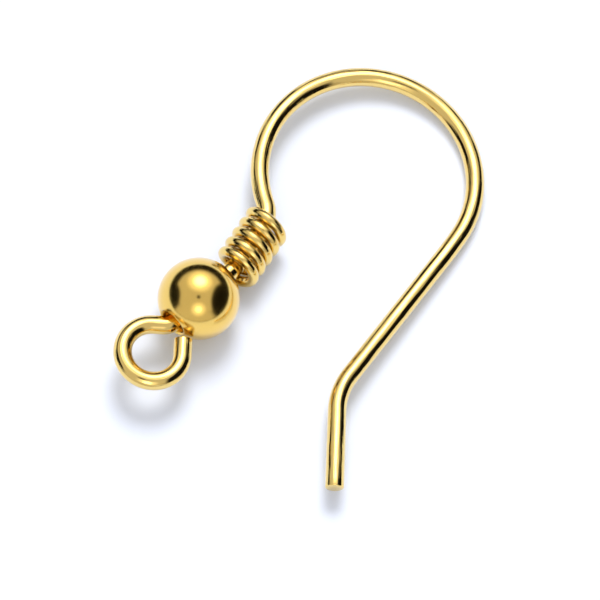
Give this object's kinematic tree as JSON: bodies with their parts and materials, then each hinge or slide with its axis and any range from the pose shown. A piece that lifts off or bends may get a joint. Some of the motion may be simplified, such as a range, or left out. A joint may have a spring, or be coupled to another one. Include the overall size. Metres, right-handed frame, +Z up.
{
  "type": "ear wire",
  "caption": "Gold fish-hook ear wire with a drilled ball and a small wire coil on its stem, lying flat.",
  "frame": {"origin": "middle of the outline of the lying ear wire, on the surface that it rests on", "axes": "+Z up from that surface, +Y along the leg towards the top of the big bend, +X from the stem towards the tip"},
  "size_m": [0.0124, 0.019, 0.0035],
  "materials": {
    "gold_wire": "polished gold plating on the hook wire",
    "gold_ball": "polished gold plating on the ball",
    "gold_coil": "polished gold plating on the coil wire"
  },
  "bodies": {
    "root": {"ear_hook": "gold_wire", "ball": "gold_ball", "coil": "gold_coil"}
  },
  "joints": []
}
